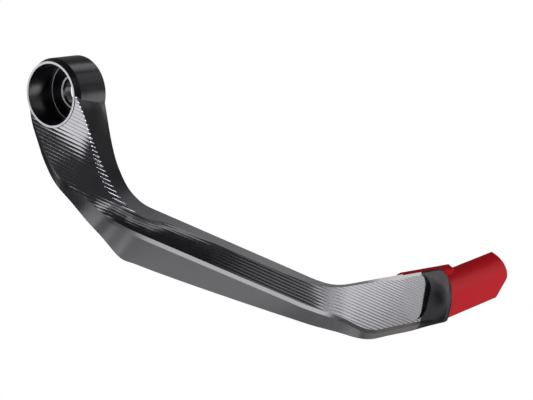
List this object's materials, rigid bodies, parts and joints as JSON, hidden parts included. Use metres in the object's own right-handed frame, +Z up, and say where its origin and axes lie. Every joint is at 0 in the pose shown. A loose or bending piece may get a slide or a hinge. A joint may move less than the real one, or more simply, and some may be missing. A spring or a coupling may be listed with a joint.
{
  "type": "brake lever guard",
  "caption": "Milled black arm with a bar-end ring that sweeps in front of a motorbike's brake lever, with a red tip on its inboard end.",
  "frame": {"origin": "on the bore's axis, in the ring's inboard face", "axes": "+X inboard along the bore, -Y forward, +Z up"},
  "size_m": [0.1854, 0.1114, 0.0256],
  "materials": {
    "black_anodised": "milled and black anodised",
    "red_satin": "satin red",
    "screw_steel": "plain steel"
  },
  "bodies": {
    "root": {"guard_arm": "black_anodised", "end_tip": "red_satin", "tip_screws": "screw_steel"}
  },
  "joints": []
}
